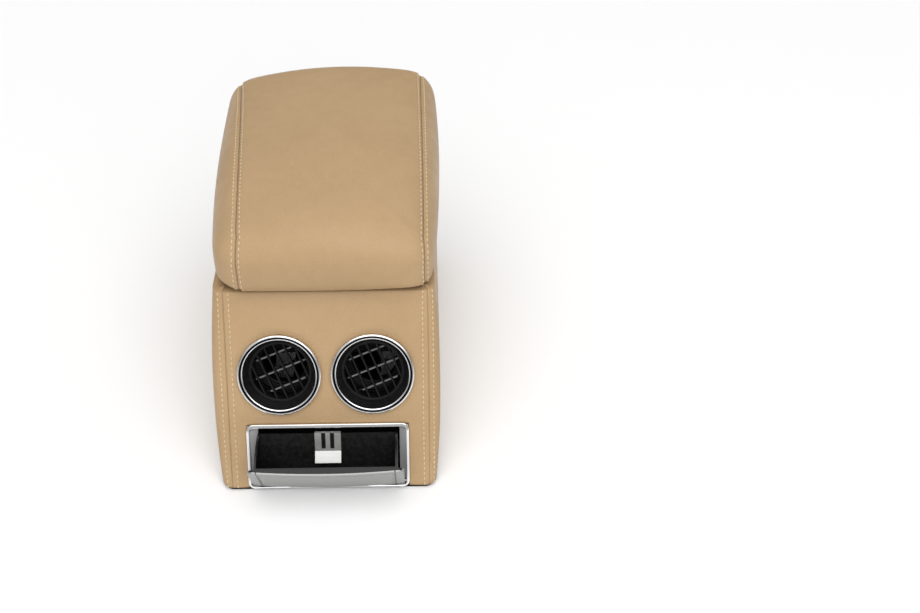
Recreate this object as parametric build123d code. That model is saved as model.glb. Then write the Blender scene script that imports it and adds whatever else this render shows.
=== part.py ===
"""Car centre armrest: a leather-covered console box with a padded lid, two round air vents and a tilt-out ashtray.

Frame: millimetres, +Z up, -Y towards the vents, origin on the underside at the centre of the mounting holes.
At rest the lid is shut, the ashtray stands open and both vent drums are turned a little.
"""
import os
from math import cos, radians, sin, sqrt, tan

from build123d import *

# Console box
body_width = 183.0
side_bow = 4.0
base_depth = 320.0
rim_height = 152.0
panel_lean = 25.0
front_corner = 9.0
rear_corner = 20.0
shell_wall = 3.0
base_thickness = 3.0
base_inset = 2.5

# Leather covers and their seams
cover_thickness = 1.6
front_seam_inset = 9.5
rear_seam_inset = 30.0
seam_gap = 0.6

# Storage bin
bin_depth = 105.0
bin_wall = 2.0
bin_lip = 5.0
bin_lip_thickness = 1.6
bin_corner = 14.0
bin_front_gap = 46.0
bin_hinge_gap = 2.0
bin_side_gap = 14.0

# Base screws, mounting holes and rail slots
base_screw_radius = 1.75
base_screw_head = 3.5
base_screw_length = 14.0
boss_radius = 5.0
boss_height = 20.0
boss_inset = 20.0
front_boss_inset = 72.0
mount_hole_radius = 2.5
mount_hole_across = 54.0
mount_hole_along = 88.0
rail_slot_width = 18.0
rail_slot_length = 74.0
rail_slot_across = 96.0

# Round air vents, measured in the plane of the front panel
vent_across = 74.4
vent_height = 100.0
bezel_radius = 33.0
bezel_bore = 29.2
bezel_rise = 3.4
barrel_radius = 25.6
barrel_wall = 2.0
funnel_depth = 6.0
barrel_depth = 31.0
spigot_radius = 19.0
spigot_length = 12.0
drum_clearance = 0.35
drum_wall = 2.2
drum_recess = 6.4
drum_depth = 17.0
drum_turn = 22.0
vane_count = 6
vane_pitch = 7.6
vane_thickness = 1.2
vane_depth = 4.5
louvre_pitch = 14.0
louvre_thickness = 1.5
louvre_front = 3.6
louvre_rear = 3.0
louvre_axis_depth = 11.0
louvre_side_gap = 0.8
pivot_radius = 1.0
pivot_clearance = 0.05
crank_reach = 7.0
crank_thickness = 1.4
crank_pin_radius = 0.9
link_offset = 8.0
link_width = 4.0
link_thickness = 1.6
link_gap = 0.25

# Tilt-out ashtray, measured in the plane of the front panel
ash_bezel_width = 131.0
ash_bezel_height = 55.0
ash_bezel_bottom = 3.2
ash_bezel_lip = 3.2
ash_bezel_side_lip = 2.2
ash_bezel_sill = 1.5
ash_bezel_rise = 2.4
ash_bezel_corner = 5.5
ash_sleeve_wall = 1.6
ash_sleeve_depth = 13.0
ash_sleeve_taper = 3.2
ash_reveal_start = 3.6
ash_reveal_depth = 6.0
ash_reveal_width = 5.6
ash_pin_radius = 1.1
ash_pin_inside = 8.0
ash_pin_bite = 1.0
ash_open_angle = 55.0
door_thickness = 2.6
door_bow = 2.6
door_top_gap = 1.6
door_side_gap = 1.8
door_sill_gap = 0.3
door_axis_depth = 0.6
door_corner = 5.0
door_skin = 1.2
door_rim = 1.4
door_solid_foot = 9.0
door_groove_inset = 8.0
door_groove_width = 0.7
door_groove_depth = 0.5
tray_wall = 1.6
tray_span = 51.0
tray_root = 9.0
tray_side_gap = 7.0
tray_tip_gap = 3.8
ash_house_wall = 1.8
ash_house_gap = 2.0
clip_width = 21.0
clip_thickness = 0.8
clip_drop = 26.0
clip_tail = 10.0
clip_tail_angle = 28.0
clip_slot_width = 3.4
clip_slot_length = 14.0

# Padded lid, its pan and hinge
lid_gap = 2.8
lid_overhang = 7.0
lid_nose_width = 177.0
lid_rear_width = 188.0
lid_height = 70.0
lid_nose_height = 52.0
lid_rear_height = 66.0
lid_nose_radius = 34.0
lid_rear_radius = 24.0
lid_nose_sweep = 30.0
lid_rear_sweep = 34.0
lid_sweep_power = 3.0
lid_tip = 0.25
lid_end_shares = (0, 0.025, 0.10, 0.26, 0.52, 0.9)
lid_middle_stations = 5
lid_side_swell = 1.0
pan_inset = 9.0
pan_nose_inset = 16.0
pan_corner = 26.0
pan_thickness = 4.0
hinge_width = 120.0
hinge_leaf_depth = 17.0
hinge_leaf = 1.2
hinge_knuckle_radius = 3.0
hinge_pin_radius = 1.5
hinge_clearance = 0.05
hinge_knuckles = 5
hinge_knuckle_gap = 0.3
hinge_back_gap = 0.4
hinge_screw_radius = 1.4
hinge_screw_head = 2.5
hinge_screw_length = 8.0
hinge_screw_pitch = 36.0
pan_screw_radius = 1.5
pan_screw_head = 3.0
pan_screw_length = 10.0
pan_screw_across = 116.0
pan_screw_along = 150.0
buffer_radius = 5.0
buffer_across = 96.0
buffer_stem_radius = 2.0
buffer_stem_length = 5.0
buffer_gap = 0.1

# Places worked out from the sizes above
front_y = -base_depth / 2
rear_y = base_depth / 2
lean_slope = tan(radians(panel_lean))
rim_front_y = front_y + rim_height * lean_slope
outside = 2 * (base_depth + body_width + rim_height + lid_height)
panel = Plane(
    origin=(0, front_y, 0),
    x_dir=(1, 0, 0),
    z_dir=(0, -cos(radians(panel_lean)), sin(radians(panel_lean))),
)


def side_extrude(profile, width=outside):
    """A solid of the given width, centred on X, from a sketch drawn with (y, z)."""
    return extrude(Plane.YZ * profile, amount=width / 2, both=True)


def body_block(inset):
    """The console's outer form from the floor to the rim, drawn in by inset on every upright face."""
    shift = inset / cos(radians(panel_lean))
    profile = Polygon(
        (front_y + shift, 0),
        (rear_y - inset, 0),
        (rear_y - inset, rim_height),
        (rim_front_y + shift, rim_height),
        align=None,
    )
    half = body_width / 2 - inset
    waist = half - side_bow
    section = make_face([
        Line((-waist, 0), (waist, 0)),
        ThreePointArc((waist, 0), (half, rim_height / 2), (waist, rim_height)),
        Line((waist, rim_height), (-waist, rim_height)),
        ThreePointArc((-waist, rim_height), (-half, rim_height / 2), (-waist, 0)),
    ])
    block = side_extrude(profile) & extrude(Plane.XZ * section, amount=outside / 2, both=True)
    upright = [e for e in block.edges() if e.bounding_box().size.Z > rim_height / 2]
    block = fillet([e for e in upright if e.center().Y < 0], front_corner - inset)
    upright = [e for e in block.edges() if e.bounding_box().size.Z > rim_height / 2]
    return fillet([e for e in upright if e.center().Y > rear_y - rear_corner], rear_corner - inset)


def slab(low, high, x_low=-outside, x_high=outside, y_low=-outside, y_high=outside):
    """A plain block between the given limits, used to keep one region of a solid."""
    block = Box(x_high - x_low, y_high - y_low, high - low, align=(Align.MIN, Align.MIN, Align.MIN))
    return Pos(x_low, y_low, low) * block


def rounded_plan(x_half, y_low, y_high, corner):
    """A rectangle with rounded corners between two y limits, centred on X."""
    return Pos(0, (y_low + y_high) / 2) * RectangleRounded(2 * x_half, y_high - y_low, corner)


def countersunk_screw(radius, head_radius, length):
    """A flat-headed screw that points up, with the flat of its head at z = 0."""
    head_height = head_radius - radius
    head = Cone(head_radius, radius, head_height, align=(Align.CENTER, Align.CENTER, Align.MIN))
    shank = Cylinder(radius, length, align=(Align.CENTER, Align.CENTER, Align.MIN))
    return head + shank


def side_by_side(shapes):
    """Separate solids kept together as one node."""
    return Compound(children=[s for shape in shapes for s in shape.solids()])


# Air vents, built at the origin with the vent's axis on +Z and placed on the panel afterwards
drum_radius = barrel_radius - drum_clearance
drum_bore = drum_radius - drum_wall
louvre_depth = drum_recess + louvre_axis_depth
louvre_rows = {"upper": louvre_pitch, "middle": 0.0, "lower": -louvre_pitch}


def vent_bezel():
    """Chromed ring of two rounded beads with a groove between them."""
    ring = bezel_radius - bezel_bore
    outer_mid = bezel_radius - 0.27 * ring
    groove = bezel_radius - 0.55 * ring
    inner_mid = bezel_radius - 0.78 * ring
    outline = [
        Line((bezel_bore, 0), (bezel_radius, 0)),
        Line((bezel_radius, 0), (bezel_radius, 0.35 * bezel_rise)),
        ThreePointArc((bezel_radius, 0.35 * bezel_rise), (outer_mid, bezel_rise), (groove, 0.55 * bezel_rise)),
        ThreePointArc((groove, 0.55 * bezel_rise), (inner_mid, 0.85 * bezel_rise), (bezel_bore, 0.4 * bezel_rise)),
        Line((bezel_bore, 0.4 * bezel_rise), (bezel_bore, 0)),
    ]
    return revolve(Plane.XZ * make_face(outline), Axis.Z)


def vent_housing():
    """Black funnel that narrows to the barrel, with a rear stop ring and a hose spigot."""
    outer = barrel_radius + barrel_wall
    rear = drum_recess + barrel_depth
    stop = drum_recess + drum_depth + drum_clearance
    outline = Polyline(
        (bezel_bore, 0.35 * bezel_rise),
        (barrel_radius, -funnel_depth),
        (barrel_radius, -stop),
        (barrel_radius - drum_wall - barrel_wall / 2, -stop),
        (barrel_radius - drum_wall - barrel_wall / 2, -stop - barrel_wall),
        (barrel_radius, -stop - barrel_wall),
        (barrel_radius, -rear),
        (spigot_radius, -rear - barrel_wall),
        (spigot_radius, -rear - spigot_length),
        (spigot_radius + barrel_wall, -rear - spigot_length),
        (spigot_radius + barrel_wall, -rear),
        (outer, -rear + barrel_wall),
        (outer, -funnel_depth),
        (bezel_bore, 0),
        close=True,
    )
    return revolve(Plane.XZ * make_face(outline), Axis.Z)


def vent_drum():
    """Turning ring with upright front vanes and the bores that carry the louvres."""
    ring = Cylinder(drum_radius, drum_depth, align=(Align.CENTER, Align.CENTER, Align.MAX))
    ring -= Cylinder(drum_bore, drum_depth, align=(Align.CENTER, Align.CENTER, Align.MAX))
    ring = Pos(0, 0, -drum_recess) * ring
    rim = ring.edges().filter_by(GeomType.CIRCLE).group_by(Axis.Z)[-1].sort_by(SortBy.RADIUS)[0]
    ring = fillet(rim, drum_wall / 3)
    vanes = []
    for index in range(vane_count):
        x = (index - (vane_count - 1) / 2) * vane_pitch
        reach = sqrt(drum_bore**2 - x**2) + drum_wall / 2
        vane = Box(vane_thickness, 2 * reach, vane_depth, align=(Align.CENTER, Align.CENTER, Align.MAX))
        vanes.append(Pos(x, 0, -drum_recess - drum_wall / 3) * vane)
    drum = ring + vanes
    for row in louvre_rows.values():
        bore = Cylinder(pivot_radius + pivot_clearance, 3 * drum_radius, rotation=(0, 90, 0))
        drum -= Pos(0, row, -louvre_depth) * bore
    return drum


def louvre(row):
    """One pivoted louvre with its end pins and, at the back, the crank that the link bar drives."""
    edge = abs(row) + pivot_radius + louvre_thickness
    half = sqrt(drum_bore**2 - edge**2) - louvre_side_gap
    pin_half = sqrt(drum_radius**2 - (abs(row) + pivot_radius) ** 2) - drum_wall / 4
    blade_section = Pos(0, (louvre_front - louvre_rear) / 2) * RectangleRounded(
        louvre_thickness, louvre_front + louvre_rear, 0.45 * louvre_thickness
    )
    blade = extrude(Plane.YZ * blade_section, amount=half, both=True)
    hub = Cylinder(pivot_radius, 2 * pin_half, rotation=(0, 90, 0))
    arm_x = link_offset + link_thickness / 2 + link_gap + crank_thickness / 2
    arm_length = crank_reach + crank_pin_radius
    arm = Box(crank_thickness, louvre_thickness, arm_length, align=(Align.CENTER, Align.CENTER, Align.MAX))
    pin_length = link_thickness + 2 * link_gap + crank_thickness / 2
    pin = Cylinder(crank_pin_radius, pin_length, rotation=(0, 90, 0), align=(Align.CENTER, Align.CENTER, Align.MAX))
    piece = blade + hub + Pos(arm_x, 0, 0) * arm + Pos(arm_x, 0, -crank_reach) * pin
    return Pos(0, row, -louvre_depth) * piece


def link_bar():
    """Flat tie bar with one hole for each louvre's crank pin."""
    length = 2 * louvre_pitch + link_width
    plate = Box(link_thickness, length - link_width, link_width)
    for end in (-louvre_pitch, louvre_pitch):
        plate += Pos(0, end, 0) * Cylinder(link_width / 2, link_thickness, rotation=(0, 90, 0))
    for row in louvre_rows.values():
        hole = Cylinder(crank_pin_radius + pivot_clearance, 3 * link_thickness, rotation=(0, 90, 0))
        plate -= Pos(0, row, 0) * hole
    return Pos(link_offset, 0, -louvre_depth - crank_reach) * plate


def vent_place(side):
    """Where a vent sits on the panel: side is -1 on the left and 1 on the right."""
    return panel.location * Pos(side * vent_across / 2, vent_height, 0)


def vent_hole(side):
    """A round cut through the panel for one vent."""
    return vent_place(side) * Cylinder(bezel_bore, 4 * barrel_depth)


# Ashtray: sections are drawn about the pivot with (outward normal, panel height)
ash_top = ash_bezel_bottom + ash_bezel_height
mouth_half = ash_bezel_width / 2 - ash_bezel_side_lip
mouth_bottom = ash_bezel_bottom + ash_bezel_sill
mouth_top = ash_top - ash_bezel_lip
pivot_height = mouth_bottom + door_sill_gap + door_thickness
pivot_centre = panel.from_local_coords(Vector(0, pivot_height, -door_axis_depth))
pivot_axis = Axis(pivot_centre, (1, 0, 0))
door_half = mouth_half - door_side_gap
door_reach = mouth_top - door_top_gap - pivot_height
tray_half = mouth_half - tray_side_gap
tray_radius = mouth_top - pivot_height - tray_tip_gap
house_floor = base_thickness + ash_house_wall
skin_inner = cover_thickness + shell_wall


def ash_sheet(sketch, half_width):
    """A section drawn about the pivot, made solid across the panel."""
    plane = Plane(origin=pivot_centre, x_dir=panel.z_dir, z_dir=(-1, 0, 0))
    return extrude(plane * sketch, amount=half_width, both=True)


def open_ashtray(shape):
    """Turns a piece from its shut place to the open place that it rests in."""
    return shape.rotate(pivot_axis, ash_open_angle)


def mouth_sketch(side_shrink=0.0, top_shrink=0.0):
    """The ashtray's mouth, drawn in at the sides and at the top, and run out below the panel."""
    half = mouth_half - side_shrink
    high = mouth_top - top_shrink
    sketch = Pos(0, (high - ash_top) / 2) * Rectangle(2 * half, high + ash_top)
    return fillet(sketch.vertices().group_by(Axis.Y)[-1], ash_bezel_corner - ash_bezel_lip / 2)


def ashtray_bezel():
    """Chromed frame with a rounded lip; its sleeve has slanted reveals, lines the mouth and carries the pivots."""
    middle = Pos(0, ash_bezel_bottom + ash_bezel_height / 2)
    frame = extrude(middle * RectangleRounded(ash_bezel_width, ash_bezel_height, ash_bezel_corner), ash_bezel_rise)
    mouth = mouth_sketch() & Pos(0, mouth_bottom) * Rectangle(outside, outside, align=(Align.CENTER, Align.MIN))
    mouth = fillet(mouth.vertices().group_by(Axis.Y)[0], 1.7 * ash_bezel_sill)
    frame -= extrude(mouth, ash_bezel_rise)
    frame = fillet(frame.edges().group_by(Axis.Z)[-1], 0.4 * ash_bezel_sill)
    block_half = mouth_half + ash_sleeve_wall
    block_top = mouth_top + ash_sleeve_wall
    sleeve = Pos(0, block_top / 2, 0) * Box(
        2 * block_half, block_top, ash_sleeve_depth, align=(Align.CENTER, Align.CENTER, Align.MAX)
    )
    reveal_end = ash_reveal_start + ash_reveal_depth
    steps = [(0, 0), (ash_reveal_start, 0), (reveal_end, ash_reveal_width), (ash_sleeve_depth, ash_reveal_width)]
    rings = [
        Pos(0, 0, -depth) * mouth_sketch(side_shrink, ash_sleeve_taper * depth / ash_sleeve_depth)
        for depth, side_shrink in steps
    ]
    sleeve -= loft(rings, ruled=True)
    sleeve = (panel.location * sleeve) & slab(house_floor + ash_pin_radius / 4, outside)
    bezel = panel.location * frame + sleeve
    bore_half = mouth_half + 1.2 * ash_pin_bite
    bore = Cylinder(ash_pin_radius + pivot_clearance, 2 * bore_half, rotation=(0, 90, 0))
    return bezel - Pos(pivot_centre) * bore


def door_slab(rise):
    """The door's bowed plate, rise thicker or thinner than its face, from the pivot to its top edge."""
    front = door_thickness - door_axis_depth + rise
    back = -door_axis_depth
    outline = [
        Line((-door_half, back), (door_half, back)),
        Line((door_half, back), (door_half, front)),
        ThreePointArc((door_half, front), (0, front + door_bow), (-door_half, front)),
        Line((-door_half, front), (-door_half, back)),
    ]
    foot = Plane(origin=(0, pivot_height, 0), x_dir=(1, 0, 0), z_dir=(0, -1, 0))
    return extrude(foot * make_face(outline), -door_reach)


def door_outline():
    """The door's outline as a deep block, rounded at its two upper corners."""
    face = Pos(0, pivot_height + door_reach) * Rectangle(
        2 * door_half, 2 * door_reach, align=(Align.CENTER, Align.MAX)
    )
    face = fillet(face.vertices().group_by(Axis.Y)[-1], door_corner)
    return extrude(face, amount=4 * (door_thickness + door_bow), both=True)


def door_hollow():
    """The space behind the door's thin skin, open at the top, which the tray's liner fills."""
    low = pivot_height + door_solid_foot
    high = pivot_height + door_reach
    width = 2 * (door_half - door_rim)
    window = Pos(0, low) * Box(width, high - low, outside, align=(Align.CENTER, Align.MIN, Align.CENTER))
    return door_slab(-door_skin) & door_outline() & window


def ashtray_door():
    """Bowed front with a fine groove that marks an inset panel, hung on a barrel along its lower edge."""
    middle = Pos(0, pivot_height + door_reach / 2)
    depth = 4 * (door_thickness + door_bow)
    plate = (door_slab(0) & door_outline()) - door_hollow()
    inner_width = 2 * (door_half - door_groove_inset)
    inner_height = door_reach - 1.3 * door_groove_inset
    loop = RectangleRounded(inner_width, inner_height, door_corner / 2)
    loop -= RectangleRounded(
        inner_width - 2 * door_groove_width, inner_height - 2 * door_groove_width, door_corner / 2 - door_groove_width
    )
    groove = extrude(middle * loop, amount=depth) - door_slab(-door_groove_depth)
    plate = panel.location * (plate - groove)
    relief = Polygon(
        (door_thickness, 0),
        (door_thickness + 2 * door_bow, 0),
        (door_thickness + 2 * door_bow, door_bow),
        align=None,
    )
    plate -= ash_sheet(relief, outside / 2)
    door = plate + ash_sheet(Circle(door_thickness), door_half)
    hole_depth = 2 * (door_half - ash_pin_inside)
    bore = Cylinder(ash_pin_radius, outside, rotation=(0, 90, 0))
    bore -= Box(hole_depth, outside, outside)
    return open_ashtray(door - Pos(pivot_centre) * bore)


def tray_point(radius, angle):
    """A point at a radius from the pivot, at an angle measured inwards from the panel."""
    return Vector(-radius * sin(radians(angle)), radius * cos(radians(angle)))


def ashtray_tray():
    """Wedge-shaped bin open at its outer curve, with a liner that fills the door's back."""
    half_span = tray_span / 2
    sector = make_face([
        Line(tray_point(tray_root, 0), tray_point(tray_radius, 0)),
        ThreePointArc(
            tray_point(tray_radius, 0), tray_point(tray_radius, half_span), tray_point(tray_radius, tray_span)
        ),
        Line(tray_point(tray_radius, tray_span), tray_point(tray_root, tray_span)),
        Line(tray_point(tray_root, tray_span), tray_point(tray_root, 0)),
    ])
    apex = tray_point(tray_wall / sin(radians(half_span)), half_span)
    low = tray_root + tray_wall - apex.length / 2
    high = 2 * tray_radius
    corners = [
        apex + tray_point(low, 0),
        apex + tray_point(high, 0),
        apex + tray_point(high, tray_span),
        apex + tray_point(low, tray_span),
    ]
    hollow = Polygon(*[(corner.X, corner.Y) for corner in corners], align=None)
    bin_wedge = ash_sheet(sector, tray_half) - ash_sheet(hollow, tray_half - tray_wall)
    return open_ashtray(bin_wedge + panel.location * door_hollow())


def ashtray_pivots():
    """Two pins pressed into the ends of the door's barrel, which turn in the bezel's sleeve."""
    reach = ash_pin_inside + door_side_gap + ash_pin_bite
    pin = Cylinder(ash_pin_radius, reach, rotation=(0, 90, 0), align=(Align.CENTER, Align.CENTER, Align.MIN))
    right = Pos(door_half - ash_pin_inside, pivot_centre.Y, pivot_centre.Z) * pin
    return side_by_side([right, mirror(right, Plane.YZ)])


def stub_clip():
    """Sprung steel strip: three fingers hooked over the tray's back wall and a tail bent out."""
    upper = clip_drop - clip_tail
    strip = Box(clip_width, upper, clip_thickness, align=(Align.CENTER, Align.MAX, Align.MIN))
    tail = Box(clip_width, clip_tail, clip_thickness, align=(Align.CENTER, Align.MAX, Align.MIN))
    strip += Pos(0, -upper, 0) * Rot(-clip_tail_angle, 0, 0) * tail
    strip = Pos(0, clip_thickness, tray_wall) * strip
    bridge_depth = tray_wall + 2 * clip_thickness
    bridge = Box(clip_width, clip_thickness, bridge_depth, align=(Align.CENTER, Align.MIN, Align.MIN))
    strip += Pos(0, 0, -clip_thickness) * bridge
    slot = Box(clip_slot_width, clip_slot_length, outside, align=(Align.CENTER, Align.MAX, Align.MIN))
    for side in (-1, 1):
        strip -= Pos(side * clip_width / 6, clip_thickness, 0) * slot
    leg = Box(clip_width, 0.3 * clip_drop, clip_thickness, align=(Align.CENTER, Align.MAX, Align.MAX))
    leg = Pos(0, clip_thickness, 0) * leg
    angle = radians(tray_span)
    wall = Plane(
        origin=pivot_centre,
        x_dir=(1, 0, 0),
        z_dir=panel.z_dir * cos(angle) + panel.y_dir * sin(angle),
    )
    return open_ashtray(wall.location * (Pos(0, tray_radius, 0) * (strip + leg)))


def ashtray_housing():
    """Open-fronted box behind the bezel that the tray swings in."""
    inner_half = mouth_half + ash_house_gap
    outer_half = inner_half + ash_house_wall
    reach = pivot_centre.Y + tray_radius + ash_house_gap
    high = pivot_centre.Z + tray_radius + ash_house_gap
    solid = slab(base_thickness, high + ash_house_wall, -outer_half, outer_half, front_y, reach + ash_house_wall)
    box = solid - slab(house_floor, high, -inner_half, inner_half, front_y - ash_house_wall, reach)
    behind_panel = panel.location * Box(outside, outside, outside, align=(Align.CENTER, Align.CENTER, Align.MAX))
    return box & Pos(0, skin_inner / cos(radians(panel_lean)), 0) * behind_panel


def ash_opening():
    """A cut through the panel that takes the ashtray's sleeve and runs out below."""
    high = mouth_top + ash_sleeve_wall
    sketch = Rectangle(2 * (mouth_half + ash_sleeve_wall), 2 * high)
    return panel.location * extrude(sketch, amount=2 * ash_sleeve_depth, both=True)


# Console box
bin_half = body_width / 2 - side_bow - bin_side_gap
bin_front = rim_front_y + bin_front_gap
bin_back = rear_y - hinge_leaf_depth - bin_lip - bin_hinge_gap
boss_places = [
    (side * (body_width / 2 - side_bow - skin_inner - boss_inset + boss_radius), y)
    for side in (-1, 1)
    for y in (front_y + front_boss_inset, rear_y - skin_inner - boss_inset + boss_radius)
]
hinge_screw_y = rear_y - 0.75 * hinge_leaf_depth
hinge_screw_places = [((index - 1.5) * hinge_screw_pitch, hinge_screw_y) for index in range(4)]


def panel_cuts(body):
    """Cuts the vents and the ashtray through whatever covers the front panel."""
    for side in (-1, 1):
        body -= vent_hole(side)
    return body - ash_opening()


def body_shell():
    """Moulded box, open above and below, with a rim flange round the bin and four screw bosses."""
    outer = body_block(cover_thickness) & slab(base_thickness, rim_height)
    shell = outer - body_block(skin_inner)
    flange = outer & slab(rim_height - shell_wall, rim_height)
    flange -= extrude(rounded_plan(bin_half, bin_front, bin_back, bin_corner), rim_height)
    shell = shell + flange
    for x, y in boss_places:
        boss = Pos(x, y, base_thickness) * Cylinder(
            boss_radius, boss_height, align=(Align.CENTER, Align.CENTER, Align.MIN)
        )
        side = 1 if x > 0 else -1
        web = slab(
            base_thickness, base_thickness + boss_height, min(x, x + side * boss_inset), max(x, x + side * boss_inset),
            y - shell_wall / 2, y + shell_wall / 2,
        )
        shell += boss + (web & outer)
    shell = panel_cuts(shell)
    for x, y in boss_places:
        shell -= Pos(x, y, 0) * Cylinder(base_screw_radius, 2 * (base_screw_length + 1))
    for x, y in hinge_screw_places:
        shell -= Pos(x, y, rim_height) * Cylinder(hinge_screw_radius, 4 * shell_wall)
    for side in (-1, 1):
        shell -= Pos(side * buffer_across / 2, buffer_y, rim_height) * Cylinder(buffer_stem_radius, 4 * shell_wall)
    return shell


def covers():
    """The four sewn leather panels, parted at their seams."""
    skin = (body_block(0) - body_block(cover_thickness)) & slab(base_thickness, rim_height)
    half_gap = seam_gap / 2
    middle = 0.0
    front_seam_half = body_width / 2 - front_seam_inset
    rear_seam_half = body_width / 2 - rear_seam_inset
    front = skin & slab(0, rim_height, -front_seam_half + half_gap, front_seam_half - half_gap, -outside, middle)
    rear = skin & slab(0, rim_height, -rear_seam_half + half_gap, rear_seam_half - half_gap, middle, outside)
    side = skin & slab(0, rim_height, rear_seam_half + half_gap, outside)
    side -= slab(0, rim_height, 0, front_seam_half + half_gap, -outside, middle)
    front = panel_cuts(front)
    return {"front_cover": front, "rear_cover": rear, "right_cover": side, "left_cover": mirror(side, Plane.YZ)}


def base_plate():
    """Bottom plate with four mounting holes, two rail slots and countersinks for the base screws."""
    plate = body_block(base_inset) & slab(0, base_thickness)
    for x in (-mount_hole_across / 2, mount_hole_across / 2):
        for y in (-mount_hole_along / 2, mount_hole_along / 2):
            plate -= Pos(x, y, 0) * Cylinder(mount_hole_radius, 4 * base_thickness)
    for x in (-rail_slot_across / 2, rail_slot_across / 2):
        slot = extrude(RectangleRounded(rail_slot_width, rail_slot_length, rail_slot_width / 8), 2 * base_thickness)
        plate -= Pos(x, 0, -base_thickness / 2) * slot
    for x, y in boss_places:
        plate -= Pos(x, y, 0) * countersunk_screw(base_screw_radius, base_screw_head, base_screw_length)
    return plate


def base_screws():
    """Four screws that hold the base plate to the bosses."""
    screw = countersunk_screw(base_screw_radius, base_screw_head, base_screw_length)
    return side_by_side([Pos(x, y, 0) * screw for x, y in boss_places])


def storage_bin():
    """Tub with a lip that hangs on the rim flange."""
    clearance = hinge_clearance
    outer = extrude(
        Pos(0, 0, rim_height - bin_depth)
        * rounded_plan(bin_half - clearance, bin_front + clearance, bin_back - clearance, bin_corner - clearance),
        bin_depth,
    )
    lip_plan = rounded_plan(bin_half + bin_lip, bin_front - bin_lip, bin_back + bin_lip, bin_corner + bin_lip)
    tub = outer + extrude(Pos(0, 0, rim_height) * lip_plan, bin_lip_thickness)
    hollow_plan = rounded_plan(
        bin_half - bin_wall, bin_front + bin_wall, bin_back - bin_wall, bin_corner - bin_wall
    )
    hollow = extrude(Pos(0, 0, rim_height - bin_depth + bin_wall) * hollow_plan, outside)
    floor_edges = hollow.edges().group_by(Axis.Z)[0]
    return tub - fillet(floor_edges, bin_corner / 3)


# Lid and hinge
lid_bottom = rim_height + lid_gap
lid_front = rim_front_y - lid_overhang
lid_rear = rear_y
lid_length = lid_rear - lid_front
hinge_y = rear_y + hinge_knuckle_radius + hinge_back_gap
hinge_z = rim_height + lid_gap / 2
buffer_y = rim_front_y + bin_front_gap - bin_lip - 2 * buffer_radius


def lid_taper(distance, sweep):
    """Share of the full width at a distance from one end, so that the plan sweeps round in a soft curve."""
    reach = min(distance, sweep)
    return (1 - (1 - reach / sweep) ** lid_sweep_power) ** (1 / lid_sweep_power)


def lid_drop(distance, radius):
    """How far a rounded end has fallen below the arch at a distance from that end."""
    reach = min(distance, radius)
    return radius - sqrt(radius**2 - (radius - reach) ** 2)


def lid_section(from_nose):
    """The cushion's cross-section at a distance behind the tip of the nose."""
    from_rear = lid_length - from_nose
    along = 2 * from_nose / lid_length - 1
    width = (lid_nose_width * (1 - along) + lid_rear_width * (1 + along)) / 2
    half = width / 2 * lid_taper(from_nose, lid_nose_sweep) * lid_taper(from_rear, lid_rear_sweep)
    end_height = lid_nose_height if along < 0 else lid_rear_height
    arch = lid_height - (lid_height - end_height) * along**2
    height = arch - lid_drop(from_nose, lid_nose_radius) - lid_drop(from_rear, lid_rear_radius)
    foot = 0.10 * height
    shoulder = 0.30 * height
    side = 0.84 * height
    waist = half - lid_side_swell
    bulge_height = (foot + side - shoulder) / 2
    cut = 1 - sqrt(0.5)
    right = [
        ThreePointArc((waist - foot, 0), (waist - cut * foot, cut * foot), (waist, foot)),
        ThreePointArc((waist, foot), (half, bulge_height), (waist, side - shoulder)),
        ThreePointArc(
            (waist, side - shoulder), (waist - cut * shoulder, side - cut * shoulder), (waist - shoulder, side)
        ),
    ]
    left = [mirror(edge, Plane.YZ) for edge in right]
    crown = ThreePointArc((waist - shoulder, side), (0, height), (shoulder - waist, side))
    sole = Line((foot - waist, 0), (waist - foot, 0))
    place = Plane(origin=(0, lid_front + from_nose, lid_bottom), x_dir=(1, 0, 0), z_dir=(0, -1, 0))
    return place * make_face([sole, *right, crown, *left])


def lid_stations():
    """Distances behind the nose of the cross-sections that the cushion is drawn through."""
    nose = [lid_tip + share * lid_nose_sweep for share in lid_end_shares]
    rear = [lid_length - lid_tip - share * lid_rear_sweep for share in reversed(lid_end_shares)]
    step = (rear[0] - nose[-1]) / (lid_middle_stations + 1)
    middle = [nose[-1] + step * (index + 1) for index in range(lid_middle_stations)]
    return nose + middle + rear


def pan_plan():
    """The pan's outline from above."""
    return rounded_plan(lid_nose_width / 2 - pan_inset, lid_front + pan_nose_inset, lid_rear - pan_inset, pan_corner)


pan_screw_places = [
    (x, (lid_front + lid_rear) / 2 + y)
    for x in (-pan_screw_across / 2, pan_screw_across / 2)
    for y in (-pan_screw_along / 2, pan_screw_along / 2)
]


def lid_cushion():
    """Foam pad in its sewn leather cover, with a pocket under it for the pan and its screws."""
    block = loft([lid_section(station) for station in lid_stations()])
    block -= extrude(Pos(0, 0, lid_bottom) * pan_plan(), pan_thickness)
    for x, y in pan_screw_places:
        block -= Pos(x, y, lid_bottom) * countersunk_screw(pan_screw_radius, pan_screw_head, pan_screw_length)
    return block


def lid_pan():
    """Flat plate under the cushion, with holes for its own screws and for the hinge's."""
    pan = extrude(Pos(0, 0, lid_bottom) * pan_plan(), pan_thickness)
    for x, y in pan_screw_places:
        pan -= Pos(x, y, lid_bottom) * countersunk_screw(pan_screw_radius, pan_screw_head, pan_screw_length)
    for x, y in hinge_screw_places:
        pan -= Pos(x, y, lid_bottom) * Cylinder(hinge_screw_radius, 4 * pan_thickness)
    return pan


def lid_pan_screws():
    """Four screws that hold the pan to the cushion's core."""
    screw = countersunk_screw(pan_screw_radius, pan_screw_head, pan_screw_length)
    return side_by_side([Pos(x, y, lid_bottom) * screw for x, y in pan_screw_places])


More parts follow.
